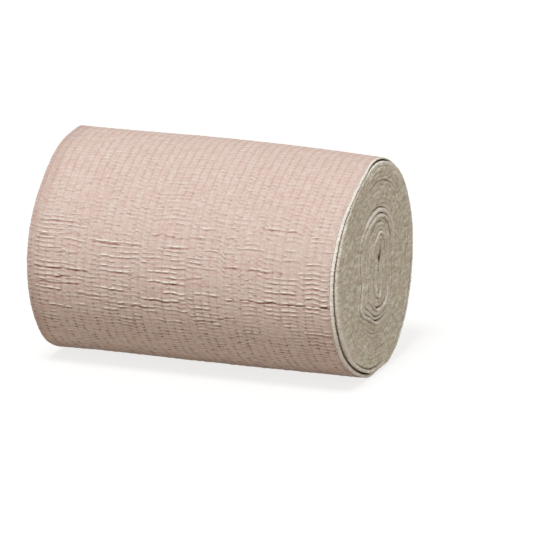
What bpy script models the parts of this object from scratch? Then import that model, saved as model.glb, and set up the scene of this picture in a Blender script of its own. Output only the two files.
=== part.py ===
"""Elastic bandage roll: one closed solid of the whole wound form, lying on its side.

Frame: +X along the roll's axis, towards the end whose core stands out; +Y back; +Z up.
The origin is the middle of the bounding box's bottom, on the small flat spot that the roll rests on.

The solid is a loft of closed rings. Each ring is a blend between the outline of the outer turn and
the narrow slit that the first fold leaves at the core, because a bandage is folded over once and then
wound, so its turns change from a flat oval to a round. The outline is a spiral: its radius grows by
one turn's pitch on the way round, and drops at the loose end, which lies at the back near the floor.
"""

import math

import bmesh
import bpy
import numpy as np

MM = 0.001  # metres in a millimetre; every size below is in millimetres

# The cloth
CLOTH_WIDTH = 101.6  # 4 inches
TURNS = 19.5  # wound turns from the loose end to the core

# The roll's section, seen from the +X end; angles run from +Y over +Z
MEAN_RADIUS = 34.9
TWO_LOBE = (0.0028, 0.0043)  # cosine and sine share of the radius, twice round: slightly oval
THREE_LOBE = (-0.0240, -0.0021)  # the same, three times round: soft shoulders
BARREL = 0.5  # how much fuller the middle of the roll is than its ends
FLAT_HEIGHT = 34.35  # from the axis down to the flat spot
FLAT_FADE = 0.06  # how fast the turns under the flat spot become round again
LOOSE_END_ANGLE = 305.0  # degrees; the cut end of the outer turn, at the back near the floor
CUT_SPREAD = 1.0  # degrees that the cut end's thickness takes up
SPIRAL_DEPTH = 12.0  # below this depth the rings are closed ovals, with no lap step

# The core
SLIT_HALF_WIDTH = 0.8
SLIT_HALF_HEIGHT = 7.0
SLIT_LEAN = 1.1  # how far the slit's top leans back, and its bottom forward
SLIT_DEPTH = 12.0
CORE_BACK_SHIFT = 2.0  # the core lies a little behind the middle
CORE_SHIFT = 2.2  # the core is pushed this far towards +X

# The loose gap between the outer turn and the next one, open at the front, closed at the back
GAP_DEPTH = 1.6
GAP_MIDDLE_ANGLE = 185.0
GAP_HALF_SPAN = 115.0  # degrees

# Rings of an end face, from the outer surface to the core: depth below the outer surface, how far the
# cloth at that depth is pushed towards +X, height over the cloth's edge, share of GAP_DEPTH taken off.
# All turns are as wide, so what stands out at +X is drawn in by as much at -X.
END_RINGS = (
    # depth, push, height, gap
    (0.0, 0.0, -0.50, 0.0),
    (0.20, 0.0, -0.12, 0.0),
    (0.55, 0.0, 0.0, 0.0),
    (1.10, 0.0, 0.0, 0.0),
    (1.30, 0.0, -0.15, 1.0),
    (1.50, 1.5, -0.60, 1.0),
    (1.70, 1.6, -0.25, 0.0),
    (2.40, 1.8, 0.0, 0.0),
    (3.50, 1.9, 0.0, 0.0),
    (9.0, 1.95, 0.0, 0.0),
    (15.0, 2.0, 0.0, 0.0),
    (20.0, 2.05, 0.0, 0.0),
    (22.0, 2.1, -0.7, 0.0),
    (23.0, 2.1, 0.0, 0.0),
    (25.6, 2.15, 0.0, 0.0),
    (26.6, 2.15, -0.9, 0.0),
    (27.6, CORE_SHIFT, 0.0, 0.0),
)
COLUMNS = 80  # points round each ring
BARREL_STATIONS = (-0.75, -0.45, -0.15, 0.15, 0.45, 0.75)  # shares of half the cloth's width

CLOTH_COLOUR = (0.66, 0.53, 0.46, 1.0)  # linear; pinkish tan cotton
CLOTH_ROUGHNESS = 0.9


def ring_angles():
    """Angles of a ring's points in degrees, evenly spaced from one side of the cut to the other."""
    start = LOOSE_END_ANGLE + CUT_SPREAD - 360.0
    return np.linspace(start, LOOSE_END_ANGLE, COLUMNS)


def section_radius(angles, station):
    """Radius of the wound section at a share of half the width, -1 to 1, along the axis."""
    turn = np.radians(angles)
    lobes = (
        TWO_LOBE[0] * np.cos(2.0 * turn)
        + TWO_LOBE[1] * np.sin(2.0 * turn)
        + THREE_LOBE[0] * np.cos(3.0 * turn)
        + THREE_LOBE[1] * np.sin(3.0 * turn)
    )
    return MEAN_RADIUS * (1.0 + lobes) + BARREL * (1.0 - station**2)


def ring_section(angles, station, depth):
    """Y and Z of a ring: the outer spiral and the core's slit, blended by the depth below the surface."""
    turn = np.radians(angles)
    radius = section_radius(angles, station)
    wound = (LOOSE_END_ANGLE - angles) / 360.0 - 0.5
    spiral = max(0.0, 1.0 - depth / SPIRAL_DEPTH)
    share = depth / MEAN_RADIUS + spiral * wound / TURNS
    slit_y = CORE_BACK_SHIFT + SLIT_HALF_WIDTH * np.cos(turn) + SLIT_LEAN * np.sin(turn)
    slit_z = SLIT_HALF_HEIGHT * np.sin(turn)
    y = (1.0 - share) * radius * np.cos(turn) + share * slit_y
    z = (1.0 - share) * radius * np.sin(turn) + share * slit_z
    flat_z = depth * (1.0 - SLIT_HALF_HEIGHT / MEAN_RADIUS - FLAT_FADE) - FLAT_HEIGHT
    return y, np.maximum(z, flat_z)


def gap_share(angles):
    """How open the loose gap is at each angle: 1 in the middle of its span, 0 outside it."""
    off = np.abs((angles - GAP_MIDDLE_ANGLE + 180.0) % 360.0 - 180.0)
    return np.clip(1.0 - off / GAP_HALF_SPAN, 0.0, 1.0) ** 0.5


def end_rings(side):
    """The rings of one end face, from the outer surface to the floor of the core's slit."""
    angles = ring_angles()
    edge = side * CLOTH_WIDTH / 2.0
    rings = []
    for depth, push, height, gap in END_RINGS:
        y, z = ring_section(angles, side, depth)
        sunk = gap * GAP_DEPTH * gap_share(angles)
        x = edge + push + side * (height - sunk)
        rings.append(np.stack([x, y, z], axis=1))
    y, z = ring_section(angles, side, MEAN_RADIUS)
    for sunk in (0.0, SLIT_DEPTH):
        x = np.full(COLUMNS, edge + CORE_SHIFT - side * sunk)
        rings.append(np.stack([x, y, z], axis=1))
    return rings


def all_rings():
    """Every ring in order, from the slit's floor at -X, over the outer surface, to the one at +X."""
    angles = ring_angles()
    rings = end_rings(-1.0)[::-1]
    for station in BARREL_STATIONS:
        y, z = ring_section(angles, station, 0.0)
        x = np.full(COLUMNS, station * CLOTH_WIDTH / 2.0)
        rings.append(np.stack([x, y, z], axis=1))
    rings.extend(end_rings(1.0))
    return np.stack(rings)


def to_bottom_centre(points):
    """Move points so that the origin is the middle of the bottom of their bounding box."""
    flat = points.reshape(-1, 3)
    low, high = flat.min(axis=0), flat.max(axis=0)
    middle = (low + high) / 2.0
    return points - np.array([middle[0], middle[1], low[2]])


def cloth_material():
    material = bpy.data.materials.new("bandage_cotton")
    material.use_nodes = True
    shader = material.node_tree.nodes["Principled BSDF"]
    shader.inputs["Base Color"].default_value = CLOTH_COLOUR
    shader.inputs["Roughness"].default_value = CLOTH_ROUGHNESS
    shader.inputs["Metallic"].default_value = 0.0
    return material


def build_roll():
    """Bridge the rings into one closed mesh, with a flat cap on the floor of each slit."""
    rings = to_bottom_centre(all_rings()) * MM
    mesh = bmesh.new()
    loops = [[mesh.verts.new(point) for point in ring] for ring in rings]
    for lower, upper in zip(loops[:-1], loops[1:]):
        for i in range(COLUMNS):
            j = (i + 1) % COLUMNS
            mesh.faces.new((lower[i], lower[j], upper[j], upper[i]))
    mesh.faces.new(loops[0][::-1])
    mesh.faces.new(loops[-1])
    bmesh.ops.recalc_face_normals(mesh, faces=mesh.faces)

    data = bpy.data.meshes.new("bandage_roll")
    mesh.to_mesh(data)
    mesh.free()
    data.shade_smooth()
    data.set_sharp_from_angle(angle=math.radians(35.0))
    data.materials.append(cloth_material())
    roll = bpy.data.objects.new("bandage_roll", data)
    bpy.context.scene.collection.objects.link(roll)
    return roll


def main():
    for item in list(bpy.data.objects):
        bpy.data.objects.remove(item)
    build_roll()


main()
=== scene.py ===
# %% [markdown]
# # An elastic crepe bandage, wound into a roll
# The real thing is one strip of woven cotton, 101.6 mm (4 in) wide and about 2.5 m long as it is wound.
# It is folded over once, wound up, and laid on its side. This lesson makes that strip: the cloth
# follows a flattened spiral from the loose end to the fold at the core, as it does on a winding
# machine. Sizes are in millimetres until the last step of each piece, where they become metres in the
# model's own frame.

# %% Load the frame
import math

import bpy
import numpy as np
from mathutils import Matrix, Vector


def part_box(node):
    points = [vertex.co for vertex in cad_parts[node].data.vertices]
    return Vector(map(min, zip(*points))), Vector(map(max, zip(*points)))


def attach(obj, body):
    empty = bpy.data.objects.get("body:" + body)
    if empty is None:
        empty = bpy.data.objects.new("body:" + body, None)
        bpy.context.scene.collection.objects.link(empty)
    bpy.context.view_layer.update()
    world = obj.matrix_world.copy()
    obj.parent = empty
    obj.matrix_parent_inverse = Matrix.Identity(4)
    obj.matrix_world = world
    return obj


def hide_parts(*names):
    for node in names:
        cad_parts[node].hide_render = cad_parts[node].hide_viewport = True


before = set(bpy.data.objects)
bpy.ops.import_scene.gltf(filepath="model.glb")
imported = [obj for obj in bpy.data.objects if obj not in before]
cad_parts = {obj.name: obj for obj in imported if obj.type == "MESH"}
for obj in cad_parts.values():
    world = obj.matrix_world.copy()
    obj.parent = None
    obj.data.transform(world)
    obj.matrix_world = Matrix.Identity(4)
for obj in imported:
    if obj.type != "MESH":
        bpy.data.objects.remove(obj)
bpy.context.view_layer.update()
LOW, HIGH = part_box("bandage_roll")
print("roll measures", [round((b - a) * 1000.0, 1) for a, b in zip(LOW, HIGH)], "mm")

# %% [markdown]
# ## The camera comes first
# A long lens far away gives the calm perspective of a catalogue page. The camera stands in front of
# the roll, a little to the right and a little above it. It looks just beside the roll's middle, so the
# roll sits left of the view's middle.

# %% The camera
MM = 0.001  # metres in a millimetre
AZIMUTH, ELEVATION = math.radians(21.61), math.radians(15.33)
LENS, SENSOR = 540.34, 36.0
CAMERA_DISTANCE = 2521.0
AIM_RIGHT, AIM_UP = 14.84, -4.35  # how far beside the roll's middle it looks


def add_camera(middle):
    """Stand the camera on a ray from the middle, and turn its -Z axis to the point beside it."""
    level = math.cos(ELEVATION)
    back = Vector((math.sin(AZIMUTH) * level, -math.cos(AZIMUTH) * level, math.sin(ELEVATION)))
    right = Vector((math.cos(AZIMUTH), math.sin(AZIMUTH), 0.0))
    up = back.cross(right)
    centre = Vector(middle)
    place = centre + back * CAMERA_DISTANCE * MM
    aim = centre + (right * AIM_RIGHT + up * AIM_UP) * MM
    data = bpy.data.cameras.new("camera")
    data.lens, data.sensor_width = LENS, SENSOR
    data.clip_start, data.clip_end = 0.1, 50.0
    camera = bpy.data.objects.new("camera", data)
    camera.location = place
    camera.rotation_euler = (aim - place).to_track_quat("-Z", "Y").to_euler()
    bpy.context.scene.collection.objects.link(camera)
    bpy.context.scene.camera = camera
    print("camera stands at", [round(v, 3) for v in place], "m")


# %% [markdown]
# ## The winding
# A point of the cloth is found from its depth, counted in turns from the outside, and its angle, which
# goes down as the cloth winds inwards. This is quicker than simulating the winding, and it keeps the
# cloth close to the solid it stands for. Places along the roll have a station, from -1 at one end to 1
# at the other.

# %% Turns and angles
CLOTH_WIDTH = 101.6
HALF_WIDTH = CLOTH_WIDTH / 2.0
TURNS = 19.5
LOOSE_END_ANGLE = 305.0
FLAT_TURN = (LOOSE_END_ANGLE - 270.0) / 360.0  # turns from the loose end to the lowest point


def angle_at(turn):
    """Angle in degrees, from +Y over +Z, of the cloth so many turns from the loose end."""
    return LOOSE_END_ANGLE - 360.0 * turn


def bell(off, span):
    """A bell curve of a distance: 1 at none, and about a third at the span."""
    return np.exp(-((off / span) ** 2))


def round_to(angle, middle):
    """Degrees from a middle angle to another, the short way round."""
    return (angle - middle + 180.0) % 360.0 - 180.0


def hill(angle, middle, span):
    """A smooth hill, 1 at the middle angle, that fades with the distance round the circle."""
    return bell(round_to(angle, middle), span)


print("the cloth goes round", TURNS, "times, to a fold at", angle_at(TURNS) % 360.0, "degrees")

# %% [markdown]
# ## The outline
# A roll that was wound by hand and has lain on a shelf isn't a true circle. Its outline could be drawn
# point by point. A circle with a few low waves, and a hill wherever it was pressed or drawn in, stays
# smooth, and each can be changed by itself.

# %% Outline of the outer turn
MEAN_RADIUS = 34.9
TWO_LOBE = (0.0028, 0.0043)  # cosine and sine share of the radius, twice round: slightly oval
THREE_LOBE = (-0.0240, -0.0021)  # the same, three times round: soft shoulders

# Height in mm, and the angle and span in degrees that it goes with
BARREL, BARREL_TOP = 0.5, (88.0, 30.0)  # how much fuller the roll's middle is, most of all on its top
DROOP, DROOP_AT = 0.45, (68.0, 20.0)  # how far the outline is drawn in at the top of the +X end
SLUMP, SLUMP_AT = 0.75, (250.0, 20.0)  # and along the front of the flat spot

# Where the -X end's outline stands out or in: angle, span in degrees, height in mm
FAR_END_BUMPS = (
    (75, 7, 0.48),
    (90, 8, -0.3),
    (131, 12, -0.4),
    (196, 16, -0.35),
    (232, 16, 0.55),
)


def outline_radius(angle, station):
    """Radius of the outer turn: a circle with two and three soft lobes, fuller in the roll's middle,
    bumpy at the -X end, and drawn in at the top of the +X end and above the flat spot's front."""
    a = np.radians(angle)
    lobes = TWO_LOBE[0] * np.cos(2.0 * a) + TWO_LOBE[1] * np.sin(2.0 * a)
    lobes = lobes + THREE_LOBE[0] * np.cos(3.0 * a) + THREE_LOBE[1] * np.sin(3.0 * a)
    barrel = BARREL * (1.0 - station**2) * (1.0 + 0.8 * hill(angle, *BARREL_TOP))
    end = np.clip((-station - 0.55) / 0.45, 0.0, 1.0) ** 2
    bumps = sum(height * hill(angle, middle, span) for middle, span, height in FAR_END_BUMPS) * end
    droop = DROOP * hill(angle, *DROOP_AT) * np.clip(station, 0.0, 1.0) ** 1.5
    slump = SLUMP * hill(angle, *SLUMP_AT) * (1.0 - 0.3 * station**2 - 0.65 * end)
    return MEAN_RADIUS * (1.0 + lobes) + barrel + bumps - droop - slump


def spread(values):
    """Lowest and highest of an array, for the printed checks."""
    return f"{values.min():.2f} to {values.max():.2f}"


ring = np.linspace(0.0, 360.0, 721)
print("radius in the middle of the roll", spread(outline_radius(ring, 0.0)), "mm")

# %% [markdown]
# ## The core
# The strip is folded once before it is wound, so the core is a narrow slit and no round hole, as an
# exact spiral would leave. It leans, it is pinched where the first turns are tight, and the turns near
# it are pulled out of round: each bulge of the table moves their depth.

# %% Slit and bulges
SLIT_HALF_HEIGHT, SLIT_LEAN = 7.0, 1.1  # mm; the lean is how far back its top is
SLIT_HEIGHTS = (-1.0, -0.9, -0.78, -0.65, 0.05, 0.3, 0.5, 0.68, 0.85, 1.0)  # shares of the half height
SLIT_WIDTHS = (1.2, 1.0, 0.3, -0.2, -0.2, 0.8, 1.0, 0.8, 0.0, -0.1)  # half widths there
CORE_BACK_SHIFT = 2.0  # how far behind the axis the slit lies

# Where the turns round the core stand out or in: depth, angle, their spans, and by how many turns
CORE_BULGES = (
    (11.5, 140, 3.6, 36, 1.4),
    (11, 42, 3.4, 24, 0.6),
    (12, 212, 3.6, 16, 1.9),
    (12.5, 190, 3, 12, -0.5),
    (14.5, 320, 4, 26, 1.8),
    (12.9, 84, 1.1, 40, -0.35),
)


def slit_point(angle):
    """The narrow leaning oval that the first fold leaves at the core."""
    a = np.radians(angle)
    width = np.interp(np.sin(a), SLIT_HEIGHTS, SLIT_WIDTHS)
    y = CORE_BACK_SHIFT + width * np.cos(a) + SLIT_LEAN * np.sin(a)
    return y, SLIT_HALF_HEIGHT * np.sin(a)


print("the slit is", 2.0 * SLIT_HALF_HEIGHT, "mm high;", len(CORE_BULGES), "bulges round it")

# %% [markdown]
# ## From the outline to the slit
# Every turn in between is a blend of the nearly round outline and the slit, so no turn needs a shape of
# its own. The roll's weight flattens the lowest turns.

# %% The wound section
FLAT_HEIGHT = 34.35  # from the roll's axis down to the flat spot it rests on
FLAT_FADE = 0.06  # how much less the flat rises than the turns do, so that it fades towards the core
FLAT_ROUNDING = 0.25  # how gently the cloth bends on to the flat, in mm


def section_point(depth, angle, station):
    """Y and Z at a depth in turns: outline and slit blended by (depth - 1/2) / turns, after the bulges
    have moved the depth. A soft maximum keeps the lowest turns flat on the floor."""
    a = np.radians(angle)
    moved = depth + 0.0 * angle
    for middle, middle_angle, span, angle_span, turns in CORE_BULGES:
        moved = moved - turns * bell(depth - middle, span) * hill(angle, middle_angle, angle_span)
    share = (moved - 0.5) / TURNS
    radius = outline_radius(angle, station)
    slit_y, slit_z = slit_point(angle)
    y = (1.0 - share) * radius * np.cos(a) + share * slit_y
    z = (1.0 - share) * radius * np.sin(a) + share * slit_z
    below = (depth - FLAT_TURN) * MEAN_RADIUS / TURNS
    flat = below * (1.0 - SLIT_HALF_HEIGHT / MEAN_RADIUS - FLAT_FADE) - FLAT_HEIGHT
    return y, flat + FLAT_ROUNDING * np.logaddexp(0.0, (z - flat) / FLAT_ROUNDING)


def pitch_at(angle):
    """Distance in mm from one turn to the next: the way from the outline to the slit, shared out."""
    a = np.radians(angle)
    slit_y, slit_z = slit_point(angle)
    radius = outline_radius(angle, 1.0)
    return np.hypot(radius * np.cos(a) - slit_y, radius * np.sin(a) - slit_z) / TURNS


print("pitch", spread(pitch_at(ring)), "mm")

# %% [markdown]
# ## The roll's place
# The model's box says where the roll is: its axis lies half a cloth width from the left side, half way
# between front and back, and as high as the flat spot says. The camera is then aimed from it.

# %% Axis and camera
ring_y = section_point((LOOSE_END_ANGLE - ring) / 360.0 % 1.0, ring, 0.0)[0]
AXIS = np.array(
    [
        LOW[0] / MM + HALF_WIDTH,
        (LOW[1] + HIGH[1]) / 2.0 / MM - (ring_y.min() + ring_y.max()) / 2.0,
        LOW[2] / MM + FLAT_HEIGHT,
    ]
)
add_camera(AXIS * MM)
print("roll's axis passes through", AXIS.round(2), "mm")

# %% [markdown]
# ## Noise and tables
# Cloth is irregular, but each run of this script has to make the same cloth. Noise from a seeded table
# of random numbers gives that. In the formulas below, the number before a noise is how strong it is,
# and the numbers that divide its coordinates are its size in mm. What changes round the roll by design,
# such as a gap's width, is written down at a few angles instead.

# %% Helpers for uneven cloth


def smooth(low, high, value):
    """Smooth step: 0 below low, 1 above high, an S between them."""
    x = np.clip((value - low) / (high - low), 0.0, 1.0)
    return x * x * (3.0 - 2.0 * x)


def lattice_noise(seed, first, second):
    """Value noise from -1 to 1: random numbers at whole coordinates, blended smoothly in between."""
    size = 509
    lattice = np.random.default_rng(seed).uniform(-1.0, 1.0, (size, size))
    i, j = np.floor(first).astype(int), np.floor(second).astype(int)
    f, g = first - i, second - j
    f, g = f * f * (3.0 - 2.0 * f), g * g * (3.0 - 2.0 * g)
    i0, i1, j0, j1 = i % size, (i + 1) % size, j % size, (j + 1) % size
    near = lattice[i0, j0] * (1.0 - g) + lattice[i0, j1] * g
    far = lattice[i1, j0] * (1.0 - g) + lattice[i1, j1] * g
    return near * (1.0 - f) + far * f


def by_angle(angle, table):
    """Read a table of angle and value at any angle, on straight lines from row to row."""
    return np.interp(angle % 360.0, list(table), list(table.values()))


steps = np.linspace(0.0, 50.0, 501)
print("noise goes from", spread(lattice_noise(1, steps, steps)))

# %% [markdown]
# ## Loose and tight turns
# A hand-wound bandage isn't even. At the +X end the outer turn is slack along the front and the top, so
# a dark gap shows behind its edge, and the cream selvedge of the turn behind it shows in the gap. The
# turns inside stand out further. One table gives all of this round the rim, so that it is easy to
# compare.

# %% The rim of the +X end
EDGE_COLUMNS = ("gap", "thickness", "selvedge", "second_highlight", "outer push", "second push")

# Angle; width of the gap; the outer turn's thickness; width of its cream edge; how much painted
# highlight the second turn's edge gets, 0 to 1; how far the outer turn and the second one stand out.
# All but angle and that highlight are in mm
EDGE_ROWS = (
    (0, 0.03, 1.1, 0.5, 0.2, 1.8, 1.8),
    (48, 0.03, 1.0, 0.45, 0.2, 0.5, 1.9),
    (62, 0.4, 0.5, 0.3, 0.8, 0.3, 1.5),
    (90, 0.5, 0.65, 0.4, 1.0, 0.9, 1.6),
    (104, 0.25, 0.8, 0.5, 1.0, 1.8, 2.0),
    (122, 0.15, 0.8, 0.6, 0.4, 1.9, 1.9),
    (134, 0.15, 0.8, 0.6, 0.1, 1.65, 1.95),
    (140, 0.15, 0.85, 0.6, 0.1, 1.35, 2.1),
    (168, 0.3, 1.05, 0.75, 0.1, 0.9, 1.9),
    (200, 0.45, 1.1, 0.7, 0.9, 1.25, 2.3),
    (236, 0.55, 1.0, 0.5, 1.0, 1.6, 2.4),
    (250, 0.6, 1.0, 0.45, 0.8, 1.7, 2.3),
    (266, 0.4, 1.1, 0.5, 0.6, 1.5, 2.3),
    (285, 0.03, 1.1, 0.5, 0.2, 0.6, 1.9),
    (360, 0.03, 1.1, 0.5, 0.2, 1.8, 1.8),
)
EDGE_ANGLES, *EDGE_VALUES = zip(*EDGE_ROWS)
EDGE = {name: dict(zip(EDGE_ANGLES, values)) for name, values in zip(EDGE_COLUMNS, EDGE_VALUES)}
GAP_DECAY = 0.72  # how much of the outer turn's slack each turn further in still shows
GAP_OPENS = (0.72, 0.98)  # turns between which the gap behind the outer turn opens


def outer_face_depth(turn):
    """Depth of the cloth's outer face: the turn number, plus the slack passed on from the outer gap."""
    angle = angle_at(turn)
    room = by_angle(angle, EDGE["thickness"]) + by_angle(angle, EDGE["gap"])
    slack = room / pitch_at(angle) - 1.0
    passed_on = np.where(turn < 1.0, smooth(*GAP_OPENS, turn), GAP_DECAY ** np.maximum(turn - 1.0, 0.0))
    return turn + slack * passed_on


print("widest gap behind the outer turn", max(EDGE["gap"].values()), "mm")

# %% [markdown]
# ## Parted turns
# A few turns further in have parted from the next one, each over part of the way round. Moving whole
# turns apart would shift all the others. The cloth is simply thinner there, which leaves the joint open
# and dark.

# %% Open joints
# Parted turns: turn, angle of the middle, half span in degrees, how far they are open, up to about 1
PARTED = (
    (1.35, 100, 50, 0.12),
    (2.5, 118, 36, 0.15),
    (4.63, 80, 40, 0.4),
    (1.15, 250, 26, 0.6),
    (10.63, 84, 44, 0.6),
    (10.75, 46, 16, 0.3),
    (10.53, 116, 14, 0.5),
    (11.65, 84, 40, 0.4),
    (11.75, 46, 16, 0.3),
    (11.53, 116, 14, 0.4),
    (13.63, 82, 40, 0.4),
    (15.63, 82, 44, 0.6),
    (16.63, 82, 30, 0.3),
    (12.2, 230, 40, 0.7),
    (12.05, 285, 30, 0.6),
    (13.15, 250, 34, 0.65),
    (15.1, 262, 44, 0.85),
    (15, 312, 24, 0.8),
    (18.1, 270, 50, 1.2),
    (13.8, 20, 30, 0.5),
    (11.3, 196, 30, 0.2),
    (9.2, 270, 34, 0.3),
    (17.2, 190, 50, 0.5),
)
PARTED_TURNS = 0.4  # how many turns each way a row of the table reaches
LARGEST_OPENING = 1.5
OPEN_ROOM = 0.3  # share of a turn's room that a joint open by 1 leaves free
CORE_DEPTH = TURNS + 0.35  # no inner face goes deeper than this, so the slit stays clear


def parted_at(turn):
    """How open the joint on a turn's inner side is: a soft spot for each row of the table, and a little
    here and there round the core."""
    angle = angle_at(turn)
    loose = np.clip(lattice_noise(16, turn * 5.0, turn * 0.0) - 0.2, 0.0, 1.0)
    amount = 0.5 * loose * smooth(10.0, 12.0, turn)
    for middle, middle_angle, span, opened in PARTED:
        off = round_to(angle, middle_angle)
        amount = amount + opened * np.exp(-(((turn - middle) / PARTED_TURNS) ** 4) - (off / span) ** 4)
    return np.clip(amount, 0.0, LARGEST_OPENING)


def joint_at(turn, through):
    """How open the nearest joint is: the outer one up to half way through the cloth, else the inner."""
    return np.where(through < 0.5, parted_at(turn - 1.0), parted_at(turn))


def open_share(turn):
    """Share of a turn's room left open on its inner side: nothing where it isn't parted."""
    return OPEN_ROOM * parted_at(turn) * (1.0 - 0.2 * smooth(9.0, 10.0, turn))


def inner_face_depth(turn):
    """Depth of the inner face: the next turn's outer face less the open share, and clear of the slit.
    The outer turn keeps its own thickness instead."""
    outer = outer_face_depth(turn)
    room = outer_face_depth(turn + 1.0) - outer
    full = outer + room * (1.0 - open_share(turn))
    angle = angle_at(turn)
    own = outer + by_angle(angle, EDGE["thickness"]) / pitch_at(angle)
    return np.where(turn < 1.0, own, np.minimum(full, CORE_DEPTH))


print(len(PARTED), "rows of parted turns; joints are open by", spread(parted_at(steps[:200])))

# %% [markdown]
# ## Turns that stand out
# On the end face the edges of the turns don't lie in one plane. Light grazes that face, so it picks out
# only what stands out of it: a little unevenness everywhere, and a few stretches, listed in a table.

# %% How far each turn is pushed along the roll
# Stretches of the inner turns that stand out: turn of the middle, half span in turns, mm
STANDING = (
    (11.63, 0.16, 0.4),
    (12.63, 0.16, 0.7),
    (14.63, 0.14, 0.45),
    (15.62, 0.12, 0.5),
    (16.62, 0.12, 0.6),
    (17.62, 0.12, 0.4),
    (11.1, 0.12, 0.45),
    (12.12, 0.12, 0.8),
    (13.13, 0.12, 0.45),
    (14.13, 0.12, 0.3),
    (15.12, 0.14, 0.75),
    (16.12, 0.1, 0.2),
    (18.1, 0.12, 0.5),
    (12.3, 0.08, 0.3),
)
INNER_PUSH, CORE_PUSH = 1.85, 0.35  # where the turns inside settle, and how much further the core goes
INNER_FROM = (0.64, 0.86)  # turns between which the cloth begins to be pushed as the inner turns are


def push_at(turn, station=1.0):
    """How far the cloth is pushed towards +X: the outer turn only near its +X edge, the turns inside it
    as a whole and a little more towards the core, plus the standing stretches and some unevenness."""
    angle = angle_at(turn)
    outer = by_angle(angle, EDGE["outer push"]) * (0.5 + 0.5 * station)
    second = by_angle(angle, EDGE["second push"])
    further = 1.0 - np.exp(-np.maximum(turn - 1.4, 0.0))
    settled = second + (INNER_PUSH - second) * further + CORE_PUSH * smooth(8.0, 19.0, turn)
    settled = settled + sum(out * bell(turn - middle, span) for middle, span, out in STANDING)
    jitter = lattice_noise(12, turn * 3.1, turn * 0.0 + 0.5)
    jitter = jitter * (0.12 * smooth(1.8, 2.6, turn) + 0.1 * smooth(9.0, 11.5, turn))
    return outer + (settled - outer) * smooth(*INNER_FROM, turn) + jitter


print("the edges stand out by", spread(push_at(steps[:195])), "mm")

# %% [markdown]
# ## The crepe
# The yarns across the cloth are highly twisted, and they shrink into fine pleats that run along the
# roll, broken into short runs. The long elastic yarns show as faint grooves round it. Both could be
# bump alone, but real relief catches the light from any side. It is weaker where the cloth is pulled
# smooth, as on the top.

# %% Pitches, tables and creases
RIDGE_PITCH = 1.45  # from one row of pleats to the next, in mm
GROOVE_PITCH = 2.6  # from one elastic yarn's groove to the next
BREAKS = (-48.3, -30.6, -12.4, 2.6, 14.2, 27.6, 40.5)  # x where a tighter warp yarn breaks every pleat

# How strong the crepe is, by angle: calm on the top, strongest along the front
CREPE = {
    0: 0.6, 60: 0.4, 100: 0.2, 128: 0.18, 145: 0.3, 160: 0.55, 172: 0.78,
    186: 1.0, 200: 0.8, 215: 0.6, 240: 0.5, 290: 0.5, 360: 0.6,
}

# Main creases: x and angle of one end, x and angle of the other, depth in mm
CREASES = (
    (25, 149.3, 38, 149.2, 0.16),
    (17, 186.2, 50, 186, 0.24),
    (-6, 134, 9.8, 133.2, 0.09),
    (-40, 133.8, -32, 133.2, 0.07),
    (-48.9, 179.2, -29.8, 179.6, 0.22),
    (-47, 187.5, -33, 186.6, 0.20),
    (-34, 192.5, -26.8, 192.2, 0.20),
    (-9.9, 158.2, 11, 158.2, 0.16),
    (-2.6, 181, 2.4, 181.4, 0.22),
    (-10, 191, 3, 190.5, 0.18),
    (2, 200.4, 12, 200, 0.18),
    (-6, 164.2, 4.2, 163, 0.16),
    (-47, 163.4, -40, 164.4, 0.18),
    (-39, 161.4, -31.5, 162.2, 0.20),
    (-29, 164.6, -12, 164.4, 0.18),
    (-21, 179, -10, 179.4, 0.22),
    (-48, 171.4, -34, 171.6, 0.18),
    (14, 171, 47, 170.6, 0.16),
    (3, 178.6, 9, 176.4, 0.16),
    (-26, 195.2, -10, 196, 0.16),
    (12, 198.4, 18, 196.6, 0.16),
    (6, 153, 11, 152.6, 0.14),
    (-49, 184.2, -36, 183.2, 0.18),
    (-48, 156, -31, 155.4, 0.12),
)
print(len(CREASES), "main creases, the longest", max(row[2] - row[0] for row in CREASES), "mm long")

# %% [markdown]
# ## Rows of pleats
# Each pleat belongs to a row, which is the length of cloth so far, counted in pitches. Noise makes the
# rows wander, and a jump at each break stops them there. A row has its own strength in every few
# grooves, so pleats start and stop as real ones do.

# %% Where the pleats are, and how strong


def pleat_row(run, across):
    """Row number of the crepe: cloth length over pitch, wandering a little, with jumps at the breaks
    and smaller ones at the grooves. Also the number of the groove."""
    step = across / GROOVE_PITCH - 0.5
    column = np.floor(step) + smooth(0.4, 0.6, step - np.floor(step))
    block = sum(smooth(x - 0.3, x + 0.3, across) for x in BREAKS)
    row = run / RIDGE_PITCH + 0.35 * lattice_noise(1, run / 9.0, across / 24.0)
    row = row + 0.12 * lattice_noise(2, run / 2.8, across / 2.6) + 0.5 * block
    row = row + 0.4 * lattice_noise(9, run / 17.0, block * 1.7)
    return row + 0.2 * lattice_noise(19, run / 14.0, column * 0.9), column


def crepe_share(angle, across):
    """How strong the crepe is at an angle, from the table; it fades to a fifth in the plain band at the
    edge, which is half as wide at the -X end."""
    from_edge = np.where(across > 0.0, HALF_WIDTH - across, 2.0 * (HALF_WIDTH + across))
    plain = 1.0 - 0.8 * (1.0 - smooth(0.9, 1.8, from_edge))
    return by_angle(angle, CREPE) * plain


def at_break(run, across):
    """How much the pleats fade near a break: unevenly, by up to nine tenths, and not at all off it."""
    uneven = np.clip(0.6 + 0.7 * lattice_noise(23, run / 3.2, across / 5.0), 0.1, 0.9)
    return uneven * sum(bell(across - x, 0.6) for x in BREAKS)


def at_groove(across):
    """1 in the middle of each groove, falling to nothing within a quarter of the pitch."""
    return np.clip(np.cos(2.0 * np.pi * across / GROOVE_PITCH), 0.0, 1.0) ** 3


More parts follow.
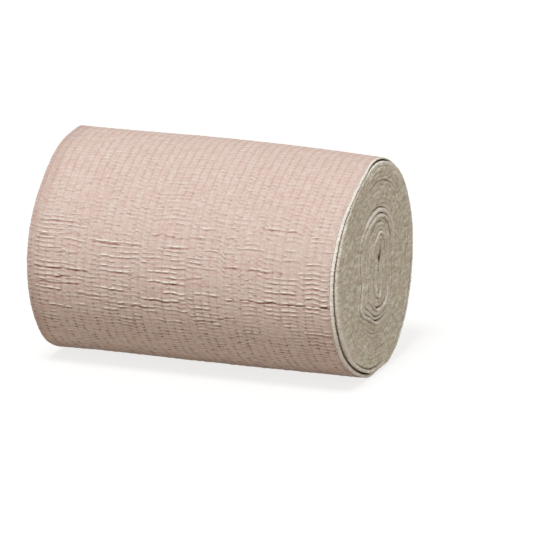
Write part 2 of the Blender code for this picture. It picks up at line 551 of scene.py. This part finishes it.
def pleat_strength(run, across, angle):
    """How deep the pleats are, 0 to about 1.7: different in each row and every few grooves, and in
    patches, weaker in the grooves, and ending raggedly at the breaks."""
    row, column = pleat_row(run, across)
    nearest = np.round(row)
    own = lattice_noise(3, nearest, column * 0.3 + nearest * 0.37)
    own = own + 0.9 * lattice_noise(14, nearest, column * 1.3 + nearest * 0.61)
    patch = lattice_noise(4, run / 9.0, across / 11.0)
    strength = np.clip(0.4 + 1.15 * own + 0.5 * patch, 0.0, 1.7)
    ends = [across - x - 1.8 * lattice_noise(22, nearest, x + nearest * 0.41) for x in BREAKS]
    ragged = sum(bell(end, 0.7) for end in ends)
    strength = strength * (1.0 - 0.6 * at_groove(across)) * (1.0 - 0.7 * np.clip(ragged, 0.0, 1.0))
    return strength * (1.0 - at_break(run, across)) * crepe_share(angle, across)


sample = pleat_strength(steps[:, None], steps[None, :] - 25.0, 190.0)
print("strength of the pleats on the front", spread(sample))

# %% [markdown]
# ## The relief
# A pleat is a gentle rise beside a narrow valley, lit on one flank and dark at its foot. A main crease
# has the same profile, only deeper, and lies along a line of its own. A displacement texture could do
# this, but one function that adds up all the heights works on the cloth's own millimetres.

# %% Height of the cloth
ROW_LIP = 0.32  # how far above its valley, in rows, a pleat's lip lies
EVEN_HEIGHT, PLEAT_HEIGHT, TANGLE_HEIGHT, GROOVE_DEPTH = 0.02, 0.15, 0.03, 0.06  # mm


def crease_relief(across, angle):
    """Height in mm of the main creases: a fold with a trough below it, along each line of the table."""
    height = 0.0
    for x0, a0, x1, a1, deep in CREASES:
        line = a0 + (a1 - a0) * np.clip((across - x0) / (x1 - x0), -0.3, 1.3)
        line = line + 0.55 * lattice_noise(5, across / 2.4, across * 0.0 + a0)
        down = (angle - line) * np.pi / 180.0 * MEAN_RADIUS
        ends = smooth(x0 - 1.0, x0 + 1.0, across) * (1.0 - smooth(x1 - 1.0, x1 + 1.0, across))
        ends = ends * (0.75 + 0.45 * lattice_noise(15, across / 1.6, across * 0.0 + a0))
        trough = bell(down, np.where(down < 0.0, 0.24, 0.34))
        height = height + deep * ends * (0.9 * bell(down + 0.55, 0.3) - 1.2 * trough)
    return height


def crepe_relief(run, across, turn):
    """Height in mm: rows of pleats, each a gentle rise and a narrow valley; a fine irregular tangle
    over them; then the grooves, and the main creases from the table."""
    angle = angle_at(turn)
    row, _ = pleat_row(run, across)
    off = row - np.round(row)
    valley = bell(off, np.where(off > 0.0, 0.17, 0.25))
    rise = bell(off - ROW_LIP, 0.19)
    wander = run + 0.5 * lattice_noise(33, run / 3.0, across / 4.0)
    tangle = lattice_noise(31, wander / 0.8, across / 3.0)
    tangle = tangle + 0.7 * lattice_noise(32, wander / 0.6, across / 1.5)
    share = crepe_share(angle, across)
    pleat = EVEN_HEIGHT * share + PLEAT_HEIGHT * pleat_strength(run, across, angle)
    height = pleat * (1.1 * rise - 0.9 * valley) + TANGLE_HEIGHT * (0.3 + 0.7 * share) * tangle
    uneven = 0.6 + 0.4 * lattice_noise(10, np.round(across / GROOVE_PITCH), run / 12.0)
    return height - GROOVE_DEPTH * at_groove(across) * uneven + crease_relief(across, angle)


sample = crepe_relief(steps[:, None], steps[None, :] - 25.0, np.linspace(0.25, 0.4, 501)[:, None])
print("relief on the front", spread(sample), "mm")

# %% [markdown]
# ## The selvedge
# At each edge the weft turns back in small loops, and the edges of the turns press into each other and
# leave lumps. Where a joint is open the edge isn't pressed flat, so it is round. Moving the points does
# that for light from any side, which bump alone would not.

# %% How the edge bulges
WEFT_LOOP = 1.2  # mm of cloth from one loop to the next


def selvedge_bulge(run, turn, through, y, z):
    """How far the edge bulges: weft loops and the lumps of yarns pressed together, less a rounding off
    of the sides, which is stronger in the outer turn, in loose turns and beside an open joint."""
    loops = np.sin(2.0 * np.pi * run / WEFT_LOOP + 2.0 * lattice_noise(6, run / 5.0, through * 0.0))
    lumps = 0.12 * lattice_noise(7, y / 1.9, z / 1.2) + 0.13 * lattice_noise(8, y / 0.9, z / 0.7)
    lumps = (lumps + 0.1 * lattice_noise(17, y / 4.5, z / 3.0)) * (0.5 + 0.5 * smooth(1.2, 3.0, turn))
    rounding = 0.3 * smooth(1.0, 1.5, 2.0 - turn)
    rounding = rounding + 0.3 * np.clip(lattice_noise(13, run / 5.0, turn * 0.0) - 0.3, 0.0, 1.0)
    loose = smooth(9.5, 11.5, turn) * (0.5 + 0.5 * lattice_noise(18, run / 7.0, turn * 0.0))
    rounding = rounding + 0.2 * loose
    side = np.abs(2.0 * through - 1.0)
    return 0.05 * loops + lumps - rounding * side**3 - 0.8 * joint_at(turn, through) * side**2.2


sample = selvedge_bulge(steps, 3.0 + 0.0 * steps, 0.5 + 0.0 * steps, steps, steps)
print("the edge of a tight turn bulges by", spread(sample), "mm")

# %% [markdown]
# ## The strip's profile
# One flat closed profile, as wide as the cloth and as thick, is carried along the spiral. A sheet
# thickened by Solidify would need the same points on both faces. Here they are dense only where
# something shows: all over the outer face of the outer turn, and at the edges of the turns inside it.

# %% Profiles


def closed_profile(face_x, inner_x, rim):
    """X and through-thickness of a closed loop: outer face to +X, round the rim, inner face back."""
    rim_x = np.array([HALF_WIDTH - cut for cut, _ in rim])
    rim_t = np.array([t for _, t in rim])
    x = np.concatenate([face_x, rim_x, inner_x[::-1], -rim_x[::-1]])
    t = np.concatenate([face_x * 0.0, rim_t, inner_x * 0.0 + 1.0, rim_t[::-1]])
    return x, t


# Round the edge: how far in from it, in mm, and how far through the cloth, 0 to 1
RIM = ((0.05, 0.0), (0.0, 0.14), (0.0, 0.38), (0.0, 0.62), (0.0, 0.86), (0.05, 1.0))
WARP_STEPS = np.arange(-57, 58) * GROOVE_PITCH / 3.0
FACE_STEPS = np.concatenate([[-50.5, -50.1], WARP_STEPS, [49.9, 50.2, 50.5]])
OUTER_PROFILE = closed_profile(FACE_STEPS, np.array([-49.0, -44.0, 0.0, 44.0, 49.0]), RIM)
INNER_STEPS = np.array([-50.3, -49.9, -45.0, 0.0, 45.0, 49.7, 50.0, 50.4])
INNER_PROFILE = closed_profile(INNER_STEPS, np.array([-49.6, 0.0, 49.6]), RIM)
print("profiles have", len(OUTER_PROFILE[0]), "and", len(INNER_PROFILE[0]), "points")

# %% [markdown]
# ## Along the winding
# The weave has to know how much cloth has been wound so far, and this spiral has no simple formula for
# that. It is measured instead, in thirty thousand small steps, and read back both ways.

# %% Length of cloth


def run_table():
    """Length of cloth in mm from the loose end, for fine steps of the turn number."""
    turn = np.linspace(-0.5, TURNS + 1.0, 30001)
    y, z = section_point(outer_face_depth(turn), angle_at(turn), 1.0)
    step = np.hypot(np.diff(y), np.diff(z))
    run = np.concatenate([[0.0], np.cumsum(step)])
    return turn, run - np.interp(0.0, turn, run)


TURN_STEPS, RUN_STEPS = run_table()


def run_at(turn):
    """Length of cloth in mm from the loose end to a turn number."""
    return np.interp(turn, TURN_STEPS, RUN_STEPS)


def even_turns(first, last, spacing):
    """Turn numbers evenly spaced along the cloth."""
    ends = run_at([first, last])
    count = int(round((ends[1] - ends[0]) / spacing)) + 1
    return np.interp(np.linspace(ends[0], ends[1], count), RUN_STEPS, TURN_STEPS)


print("the whole strip is", round(float(run_at(TURNS)) * MM, 2), "m long")

# %% [markdown]
# ## From a profile to a strip
# The profile is put at each of the even steps. Relief lifts its outer face only, and near both edges
# the selvedge bulges. Besides the points, this keeps each point's place on the flat cloth.

# %% Points of a strip
WEAK_PLEATS = 0.3  # how strong the drawn pleats are where the cloth has no relief of its own


def strip_points(turns, profile, relief_on):
    """Carry the profile along the winding; returns the points in metres, their run, x and row on the
    cloth, the relief in mm and the strength of the pleats."""
    turn = turns[:, None]
    x, through = profile[0][None, :], profile[1][None, :]
    run = run_at(turn) + x * 0.0
    angle = angle_at(turn)
    outer, inner = outer_face_depth(turn), inner_face_depth(turn)
    relief = crepe_relief(run, x, turn) if relief_on else run * 0.0
    depth = outer + (inner - outer) * through - relief * (1.0 - through) / pitch_at(angle)
    station = x / HALF_WIDTH
    y, z = section_point(depth, angle + x * 0.0, station)
    near_edge = smooth(HALF_WIDTH - 1.6, HALF_WIDTH - 0.3, np.abs(x))
    bulge = selvedge_bulge(run, turn + x * 0.0, through + x * 0.0, y, z) * near_edge * np.sign(x)
    points = np.stack([x + push_at(turn, station) + bulge, y, z], axis=-1) + AXIS
    cloth = np.stack([run, x + run * 0.0, pleat_row(run, x)[0]], axis=-1)
    pleats = pleat_strength(run, x, angle) * (1.0 if relief_on else WEAK_PLEATS)
    return points * MM, cloth, relief, pleats


start = strip_points(np.zeros(1), INNER_PROFILE, False)[0][0, 0]
print("the loose end starts at", start.round(4), "m")

# %% [markdown]
# ## Into Blender
# The grid of points becomes a mesh of quads, closed round the profile, with a cap at each end. The
# cloth's own coordinates go in as attributes, so that the weave in the material follows the cloth. A UV
# map would hold only two of them.

# %% Mesh from a grid


def signed_volume(mesh):
    """Volume by summing the tetrahedra from the origin to each triangle; negative when inside out."""
    mesh.calc_loop_triangles()
    corners = np.empty(len(mesh.loop_triangles) * 3, dtype=np.int32)
    mesh.loop_triangles.foreach_get("vertices", corners)
    place = np.empty(len(mesh.vertices) * 3)
    mesh.vertices.foreach_get("co", place)
    a, b, c = np.moveaxis(place.reshape(-1, 3)[corners.reshape(-1, 3)], 1, 0)
    return float(np.einsum("ij,ij->i", a, np.cross(b, c)).sum() / 6.0)


def strip_mesh(name, points, attributes, material):
    """Quads between neighbouring profiles, wrapped round, with a polygon at each end, facing out."""
    rows, columns = points.shape[:2]
    index = np.arange(rows * columns).reshape(rows, columns)
    a, b = index[:-1], index[1:]
    quads = np.stack([a, np.roll(a, -1, 1), np.roll(b, -1, 1), b], axis=-1).reshape(-1, 4)
    mesh = bpy.data.meshes.new(name)
    caps = [index[0][::-1].tolist(), index[-1].tolist()]
    mesh.from_pydata(points.reshape(-1, 3).tolist(), [], quads.tolist() + caps)
    for key, values in attributes.items():
        kind, field = ("FLOAT_VECTOR", "vector") if values.ndim == 3 else ("FLOAT", "value")
        layer = mesh.attributes.new(key, kind, "POINT")
        layer.data.foreach_set(field, values.astype(np.float32).ravel())
    mesh.materials.append(material)
    mesh.shade_smooth()
    mesh.update()
    piece = bpy.data.objects.new(name, mesh)
    bpy.context.scene.collection.objects.link(piece)
    volume = signed_volume(mesh)
    if volume < 0.0:
        mesh.flip_normals()
    triangles = sum(len(p.vertices) - 2 for p in mesh.polygons)
    print(name, "has", triangles, "triangles, volume", round(abs(volume) * 1e6, 1), "cm3")
    return piece


# %% [markdown]
# ## Colours and nodes
# Colours are written as they look, in sRGB hex, and one function turns them to the linear light that
# Blender calculates in. Another adds a node, whatever its kind.

# %% Helpers for materials


def linear(code):
    """sRGB hex to linear RGBA."""
    values = [int(code[i : i + 2], 16) / 255.0 for i in (1, 3, 5)]
    return [v / 12.92 if v <= 0.04045 else ((v + 0.055) / 1.055) ** 2.4 for v in values] + [1.0]


def add_node(tree, kind, inputs=(), output=0, **settings):
    """Add one shader node, set its properties, fill or link its inputs, and return one of its outputs.
    The inputs are a list in the order of the sockets, or a dictionary by name or number."""
    node = tree.nodes.new("ShaderNode" + kind)
    for key, value in settings.items():
        setattr(node, key, value)
    for key, value in inputs.items() if isinstance(inputs, dict) else enumerate(inputs):
        if isinstance(value, bpy.types.NodeSocket):
            tree.links.new(value, node.inputs[key])
        else:
            node.inputs[key].default_value = value
    return node.outputs[output] if node.outputs else None


print("#808080 is", round(linear("#808080")[0], 3), "in linear light")

# %% [markdown]
# ## Woven cotton crepe
# The yarn is unbleached and dyed cotton, woven and then shrunk in hot water. It is matt and slightly
# hairy, a pinkish tan on the faces and cream where the undyed selvedge yarns run. Every pattern reads
# the cloth's own millimetres, so it bends round the roll as a weave does, and never repeats as an image
# would.

# %% Begin the cotton
COTTON = bpy.data.materials.new("woven_cotton_crepe")
COTTON.use_nodes = True
tree = COTTON.node_tree
cloth = add_node(tree, "Attribute", (), "Vector", attribute_name="cloth")
run, across, row = add_node(tree, "SeparateXYZ", (cloth,)).node.outputs
PAINTED = ("selvedge", "painted_shade", "relief", "crepe", "pits", "pleats", "grooves", "pale_and_highlight")
selvedge, painted_shade, relief, crepe, pits, pleats, grooves, pale_and_highlight = (
    add_node(tree, "Attribute", (), "Fac", attribute_name=name) for name in PAINTED
)
print("the cotton reads", len(PAINTED) + 1, "attributes of the cloth")

# %% [markdown]
# ## Threads
# Plain weave is one set of threads over and under the other: the product of two sine waves. The real
# threads are finer than a third of a millimetre and would not show, so they are drawn a little coarser.
# Noise moves them off straight lines, and a finer noise stands for loose fibres.

# %% Weave, fibres and grooves
WARP_WAVE, WEFT_WAVE = 0.65, 0.5  # mm of one over and one under, so two threads each

# Scales are per mm of cloth: 1.3 makes flecks 0.8 mm long, and 0.35 a drift over 3 mm
wander = add_node(tree, "TexNoise", {"Vector": cloth, "Scale": 0.35, "Detail": 2.0})
shifted_run = add_node(tree, "Math", (wander, 1.6, run), operation="MULTIPLY_ADD")
shifted_across = add_node(tree, "Math", (wander, 0.6, across), operation="MULTIPLY_ADD")
weave = 1.0
for place, wave in ((shifted_across, WARP_WAVE), (shifted_run, WEFT_WAVE)):
    phase = add_node(tree, "Math", (place, 2.0 * math.pi / wave), operation="MULTIPLY")
    thread = add_node(tree, "Math", (phase,), operation="SINE")
    weave = add_node(tree, "Math", (weave, thread), operation="MULTIPLY")

fibres = add_node(tree, "TexNoise", {"Vector": cloth, "Scale": 1.3, "Detail": 4.0, "Roughness": 0.7})
from_groove = add_node(tree, "Math", (shifted_across, GROOVE_PITCH / 2.0), operation="PINGPONG")
patchy = add_node(tree, "TexNoise", {"Vector": cloth, "Scale": 0.22, "Detail": 2.0})
groove = add_node(tree, "MapRange", (from_groove, 0.0, 0.5, 1.0, 0.0))
for share in (grooves, add_node(tree, "MapRange", (patchy, 0.2, 0.55))):
    groove = add_node(tree, "Math", (groove, share), operation="MULTIPLY")
from_bead = add_node(tree, "Math", (shifted_across, GROOVE_PITCH / 4.0), operation="PINGPONG")
bead = add_node(tree, "MapRange", (from_bead, 0.0, 0.3, 1.0, 0.0))
bead = add_node(tree, "Math", (bead, crepe), operation="MULTIPLY")
print("weave drawn", WARP_WAVE, "by", WEFT_WAVE, "mm, grooves every", GROOVE_PITCH, "mm")

# %% [markdown]
# ## Pleats and dashes
# Every pleat has a line of painted shade at its foot and a lip of painted highlight above it, as a
# light from above would give, as strong as its relief. Between the pleats each row has short faint
# dashes, one to each half groove, with painted shade and a painted highlight above. White noise, read
# at whole rows and columns, makes each one different.

# %% Lines, lips and pits
nearest = add_node(tree, "Math", (row,), operation="ROUND")
off = add_node(tree, "Math", (row, nearest), operation="SUBTRACT")
above_line = add_node(tree, "Math", (off, ROW_LIP), operation="SUBTRACT")
column = add_node(tree, "Math", (across, GROOVE_PITCH / 2.0), operation="DIVIDE")
column = add_node(tree, "Math", (column,), operation="FLOOR")
shift = add_node(tree, "TexWhiteNoise", {1: column}, "Value", noise_dimensions="1D")
moved_row = add_node(tree, "Math", (shift, 0.5, row), operation="MULTIPLY_ADD")
nearest = add_node(tree, "Math", (moved_row,), operation="ROUND")
moved_off = add_node(tree, "Math", (moved_row, nearest), operation="SUBTRACT")
above_dash = add_node(tree, "Math", (moved_off, ROW_LIP), operation="SUBTRACT")
cell = add_node(tree, "CombineXYZ", (nearest, column))
own = add_node(tree, "TexWhiteNoise", (cell,), "Value", noise_dimensions="2D")
patchy = add_node(tree, "TexNoise", {"Vector": cloth, "Scale": 0.16, "Detail": 2.0})
here = add_node(tree, "MapRange", (own, 0.2, 0.95))
for share in (crepe, add_node(tree, "MapRange", (patchy, 0.35, 0.6, 0.4, 1.0))):
    here = add_node(tree, "Math", (here, share), operation="MULTIPLY")

# Each is 1 at its line and 0 a little further off, counted in rows, times its strength
drawn = []
for distance, full, none, strength in (
    (off, 0.04, 0.26, pleats),
    (above_line, 0.05, 0.28, pleats),
    (moved_off, 0.06, 0.26, here),
    (above_dash, 0.04, 0.2, here),
):
    size = add_node(tree, "Math", (distance,), operation="ABSOLUTE")
    near = add_node(tree, "MapRange", (size, full, none, 1.0, 0.0))
    drawn.append(add_node(tree, "Math", (near, strength), operation="MULTIPLY"))
# line and dash are painted shade, lip and dash_lip painted highlight; all four also raise the bump
line, lip, dash, dash_lip = drawn

# A small pit where a dash crosses a groove, painted dark as shade
pit = add_node(tree, "MapRange", (own, 0.35, 0.9))
moved_size = add_node(tree, "Math", (moved_off,), operation="ABSOLUTE")
in_row = add_node(tree, "MapRange", (moved_size, 0.1, 0.4, 1.0, 0.0))
in_groove = add_node(tree, "MapRange", (from_groove, 0.15, 0.65, 1.0, 0.0))
for share in (in_row, in_groove, pits):
    pit = add_node(tree, "Math", (pit, share), operation="MULTIPLY")
print("rows", RIDGE_PITCH, "mm apart, dashes", GROOVE_PITCH / 2.0, "mm long")

# %% [markdown]
# ## Colour of the faces
# Dye lies unevenly in crepe, so the face is two tans in blotches, browner in the valleys where dye
# gathers. Over that, the relief's tops and the pleats' lips carry a painted highlight, and the valleys,
# pleat lines, dashes, deep troughs and pits painted shade; a layer of colour for each pattern.

# %% Face colour
# Painted shade in the valleys and painted highlight on the crests, read from the relief
valley = add_node(tree, "MapRange", (relief, -0.05, -0.2))
crest_highlight = add_node(tree, "MapRange", (relief, 0.04, 0.15))
deep = add_node(tree, "MapRange", (relief, -0.16, -0.3))
for pattern, share in ((line, 0.55), (dash, 0.6)):
    part = add_node(tree, "Math", (pattern, share), operation="MULTIPLY")
    valley = add_node(tree, "Math", (valley, part), operation="MAXIMUM")
for pattern, share in ((lip, 0.8), (dash_lip, 0.6)):
    part = add_node(tree, "Math", (pattern, share), operation="MULTIPLY")
    crest_highlight = add_node(tree, "Math", (crest_highlight, part), operation="MAXIMUM")
# The valleys get more painted shade where the pits are strong, on the lower front
pit_zone_shade = add_node(tree, "Math", (pits, 0.45, 1.0), operation="MULTIPLY_ADD")
valley = add_node(tree, "Math", (valley, pit_zone_shade), operation="MULTIPLY")
hairy = add_node(tree, "MapRange", (fibres, 0.35, 0.75))
patchy = add_node(tree, "TexNoise", {"Vector": cloth, "Scale": 0.5, "Detail": 3.0, "Roughness": 0.6})
blotch = add_node(tree, "MapRange", (patchy, 0.35, 0.65))

# The crest layer is a painted highlight; the valley, deep and pit layers are painted shade, with dye in
# the valleys; blotch, hairy and groove are the cloth's own tones
FACE_LAYERS = (
    (blotch, 1.0, "#E4D5CD"),
    (hairy, 0.5, "#C49F92"),
    (groove, 0.65, "#C4A195"),
    (crest_highlight, 0.9, "#FFF7F2"),
    (valley, 0.8, "#A07060"),
    (deep, 0.6, "#6A4C3D"),
    (pit, 0.6, "#7A5846"),
)
face = linear("#DBC2B9")
for pattern, strength, code in FACE_LAYERS:
    share = add_node(tree, "Math", (pattern, strength), operation="MULTIPLY")
    face = add_node(tree, "Mix", {0: share, 6: face, 7: linear(code)}, 2, data_type="RGBA")
print("the face has", len(FACE_LAYERS), "layers of colour over its tan")

# %% [markdown]
# ## Colour of the selvedges
# The edge yarns aren't dyed. Seen end on they are a speckle of cream fibre ends and greyer gaps,
# pink in places where dye has crept in, and nearly white where a loose edge has frayed; along the
# second turn that white is a painted highlight. This pattern reads Object coordinates, because the end
# face isn't one surface of the cloth.

# %% Selvedge colour
solid = add_node(tree, "TexCoord", (), "Object")
ends = add_node(tree, "Mapping", {"Vector": solid, "Scale": (1.0, 0.4, 1.0)})  # longer front to back
mottle, dye = (  # specks near 1 mm across, and patches near 3 mm
    add_node(tree, "TexNoise", {"Vector": ends, "Scale": scale, "Detail": detail, "Roughness": rough})
    for scale, detail, rough in ((800.0, 5.0, 0.65), (380.0, 2.0, 0.6))
)
pale_speckle = add_node(tree, "MapRange", (mottle, 0.4, 0.6, 0.55, 0.95))
EDGE_LAYERS = (
    (add_node(tree, "MapRange", (mottle, 0.42, 0.58)), "#F3EDDF"),
    (add_node(tree, "MapRange", (dye, 0.5, 0.62, 0.0, 0.65)), "#E2D2C2"),
    # Paler where frayed, and a painted highlight along the second turn's edge
    (add_node(tree, "Math", (pale_and_highlight, pale_speckle), operation="MULTIPLY"), "#FFFBF3"),
)
edge = linear("#D0C7B5")
for share, code in EDGE_LAYERS:
    edge = add_node(tree, "Mix", {0: share, 6: edge, 7: linear(code)}, 2, data_type="RGBA")
print("the selvedge has", len(EDGE_LAYERS), "layers of colour over its grey")

# %% [markdown]
# ## Put the cotton together
# The painted shares choose between face, selvedge and painted shade, which stands in for the shade
# inside the roll and in open joints. Cotton scatters light in all directions, so it is rough with
# hardly any highlight, and loose fibres give it a faint sheen.
# The patterns that colour it also raise it, as bump in millimetres.

# %% Shader and bump
SHADE_BROWN = "#7A4E36"
lumps = add_node(tree, "Math", (mottle, selvedge), operation="MULTIPLY")
HEIGHTS = (  # each pattern, and how high it is in mm
    (fibres, 0.16), (weave, 0.02), (dash, -0.13), (dash_lip, 0.06), (line, -0.1), (lip, 0.08),
    (groove, -0.09), (bead, -0.035), (pit, -0.08), (lumps, 0.8),
)
colour = add_node(tree, "Mix", {0: selvedge, 6: face, 7: edge}, 2, data_type="RGBA")
# Painted shade: dark brown inside the roll, in open joints and along the -X end
colour = add_node(tree, "Mix", {0: painted_shade, 6: colour, 7: linear(SHADE_BROWN)}, 2, data_type="RGBA")
height = 0.0
for pattern, rise in HEIGHTS:
    height = add_node(tree, "Math", (pattern, rise, height), operation="MULTIPLY_ADD")
bump = add_node(tree, "Bump", {"Strength": 1.0, "Distance": MM, "Height": height})

shader = tree.nodes["Principled BSDF"]
tree.links.new(colour, shader.inputs["Base Color"])
tree.links.new(bump, shader.inputs["Normal"])
shader.inputs["Roughness"].default_value = 0.92
shader.inputs["Specular IOR Level"].default_value = 0.15
shader.inputs["Sheen Weight"].default_value = 0.08
shader.inputs["Sheen Roughness"].default_value = 0.6
print("the cotton has", len(tree.nodes), "nodes")

# %% [markdown]
# ## What each point is painted with
# The material asks, at each point, how much of it is selvedge, how much painted shade it has between
# the turns and along the -X end, how pale its edge is and how much painted highlight it has, and how
# strong each pattern is. These come from the shape's own tables, so colour and shape agree.

# %% Attributes of the cloth
# How strong the short dashes of the weave are, with their painted shade and painted highlight: made
# strongest where the light grazes the cloth
DASHES = {
    0: 0.5, 60: 0.2, 84: 0.12, 102: 0.35, 128: 0.65, 150: 0.7,
    170: 0.75, 200: 0.85, 212: 1.15, 245: 1.2, 290: 0.8, 360: 0.5,
}

# How dark the painted shade in the pits is where the rows cross the grooves, most on the lower front,
# and how strong the grooves are
PITS = {90: 0.0, 130: 0.12, 180: 0.25, 205: 0.9, 250: 0.9, 300: 0.0}
GROOVES = {0: 0.5, 60: 0.95, 120: 0.8, 150: 0.35, 195: 0.35, 215: 0.6, 260: 0.5, 360: 0.5}
INNER_SELVEDGE = 0.8  # width in mm of the cream edge of every turn inside the outer one


def selvedge_width(turn, far_side):
    """Width in mm of the cream edge: from the rim's table on the outer turn, none on its -X face."""
    width = np.where(turn < 1.0, by_angle(angle_at(turn), EDGE["selvedge"]), INNER_SELVEDGE)
    return np.where(far_side, -0.1, width)


def painted_shade_share(turn, through, from_edge, far_side):
    """Share of painted shade, 0 to 1: inside the roll, towards a turn's inner face, most in an open
    joint, and a little along the -X end."""
    inside = smooth(0.8, 1.2, from_edge) * (turn >= 1.0)
    dark = np.clip(0.65 * inside + 0.5 * through * smooth(0.1, 0.5, from_edge), 0.0, 0.95)
    dark = np.maximum(dark, 0.35 * parted_at(turn) * smooth(0.7, 1.0, through))
    return np.maximum(dark, 0.2 * far_side * (1.0 - smooth(0.5, 7.0, from_edge)))


def pale_and_highlight_share(turn, through, from_edge):
    """Share of pale edge: frayed ends at the open joints near the core, paler all along the outer turn,
    and a painted highlight along the second turn by its table."""
    joints = np.clip(1.3 * joint_at(turn, through), 0.0, 1.0) * (turn > 9.0)
    joints = joints * (1.0 - smooth(0.15, 0.4, from_edge))
    # The second turn's share is a painted highlight, read by angle from the rim's table
    second = (turn < 2.0) * by_angle(angle_at(turn), EDGE["second_highlight"])
    return joints + np.where(turn < 1.0, 1.0, second) * (1.0 - 0.5 * through)


def painted_shares(turns, profile, cloth_place):
    """The shares that the material reads, for each point of a strip."""
    run, across = cloth_place[..., 0], cloth_place[..., 1]
    through = profile[1][None, :] + 0.0 * across
    turn = np.broadcast_to(turns[:, None], across.shape)
    angle = angle_at(turn)
    from_edge = HALF_WIDTH - np.abs(across)
    far_side = (across < 0.0) & (through < 0.05)
    band = selvedge_width(turn, far_side)
    wavy = 0.1 * lattice_noise(21, run / 1.2, through)
    return {
        "selvedge": 1.0 - smooth(band - 0.06, band + 0.1, from_edge + wavy),
        "painted_shade": painted_shade_share(turn, through, from_edge, far_side),
        "pale_and_highlight": pale_and_highlight_share(turn, through, from_edge),
        "crepe": by_angle(angle, DASHES) * (1.0 - 0.7 * at_break(run, across)),
        "pits": by_angle(angle, PITS),
        "grooves": by_angle(angle, GROOVES),
    }


print("dashes are strongest at", max(DASHES, key=DASHES.get), "degrees")

# %% [markdown]
# ## The three lengths of the strip
# The strip is cut here into three lengths, only so that each mesh stays light: the outer turn, which
# shows whole and needs relief, the turns inside it, and the turns round the core. Each length starts
# exactly where the one before it stops.

# %% Make the strip


def make_length(name, first, last, spacing, profile, relief_on):
    """One length of the strip, with its attributes, parented to the root; the model's own roll is
    hidden.
    """
    turns = even_turns(first, last, spacing)
    points, cloth_place, relief_height, pleat_depth = strip_points(turns, profile, relief_on)
    attributes = {"cloth": cloth_place, "relief": relief_height, "pleats": pleat_depth}
    attributes.update(painted_shares(turns, profile, cloth_place))
    piece = strip_mesh(name, points, attributes, COTTON)
    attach(piece, "root")
    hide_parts("bandage_roll")


OUTER_SPACING, INNER_SPACING = 0.305, 0.32  # mm of cloth from one profile to the next
make_length("outer_turn", 0.0, 1.0, OUTER_SPACING, OUTER_PROFILE, True)
make_length("middle_turns", 1.0, 6.5, INNER_SPACING, INNER_PROFILE, False)
make_length("core_turns", 6.5, TURNS, INNER_SPACING, INNER_PROFILE, False)

# %% [markdown]
# ## The floor
# Matt white paper lies under the roll. It is wood pulp and chalk, rolled flat, so it scatters light
# evenly and shows no grain. The camera sees it nearly white. For the light that bounces off it, it is a
# darker grey, so the shaded end of the roll stays in shade.

# %% Floor
FLOOR_HALF = 3.0  # metres
SEEN_GLOW, FILL_GLOW = 0.77, 0.225


def add_stage():
    """A pale square floor under the roll, darker for the light that bounces than for the camera."""
    mesh = bpy.data.meshes.new("floor")
    corners = [(x * FLOOR_HALF, y * FLOOR_HALF, 0.0) for x, y in ((-1, -1), (1, -1), (1, 1), (-1, 1))]
    mesh.from_pydata(corners, [], [(0, 1, 2, 3)])
    floor = bpy.data.objects.new("floor", mesh)
    bpy.context.scene.collection.objects.link(floor)
    material = bpy.data.materials.new("matt_white_paper")
    material.use_nodes = True
    tree = material.node_tree
    tree.nodes.clear()
    sides = []
    for paper, glow, strength in (("#99958E", "#FFF6E8", FILL_GLOW), ("#8B8B8B", "#FFFFFF", SEEN_GLOW)):
        scattered = add_node(tree, "BsdfDiffuse", {"Color": linear(paper)})
        shining = add_node(tree, "Emission", {"Color": linear(glow), "Strength": strength})
        sides.append(add_node(tree, "AddShader", (scattered, shining)))
    seen = add_node(tree, "LightPath", (), "Is Camera Ray")
    mix = add_node(tree, "MixShader", (seen, *sides))
    add_node(tree, "OutputMaterial", {"Surface": mix})
    mesh.materials.append(material)
    print("floor of", 2.0 * FLOOR_HALF, "m")


add_stage()

# %% [markdown]
# ## The light
# One large soft light comes from the upper left front, and an even sky fills the shade. A sun lamp with
# a wide angle does for a window, because it lights the whole roll alike. The camera sees the sky as
# white.

# %% Lights
KEY_ENERGY, KEY_ANGLE = 2.05, 18.0
KEY_FROM = (0.015, -0.48, 0.86)  # the direction towards the light
KEY_COLOUR = (0.96, 0.98, 1.0)  # linear, a little cool
SKY_COLOUR, SKY_STRENGTH = (1.0, 0.95, 0.87, 1.0), 0.48  # linear, a little warm


def add_lights():
    """A sun lamp turned so that its light comes from a direction, and a world with two strengths."""
    key = bpy.data.lights.new("key", "SUN")
    key.energy, key.angle, key.color = KEY_ENERGY, math.radians(KEY_ANGLE), KEY_COLOUR
    lamp = bpy.data.objects.new("key", key)
    lamp.rotation_euler = Vector(KEY_FROM).to_track_quat("Z", "Y").to_euler()
    bpy.context.scene.collection.objects.link(lamp)
    world = bpy.data.worlds.new("studio")
    world.use_nodes = True
    bpy.context.scene.world = world
    tree = world.node_tree
    tree.nodes.clear()
    seen = add_node(tree, "LightPath", (), "Is Camera Ray")
    sky = add_node(tree, "Background", {"Color": SKY_COLOUR, "Strength": SKY_STRENGTH})
    white = add_node(tree, "Background", {"Color": linear("#FFFFFF"), "Strength": 1.0})
    add_node(tree, "OutputWorld", {"Surface": add_node(tree, "MixShader", (seen, sky, white))})
    print("key light", KEY_ANGLE, "degrees wide; sky strength", SKY_STRENGTH)


add_lights()
bpy.context.scene.view_settings.view_transform = "Standard"
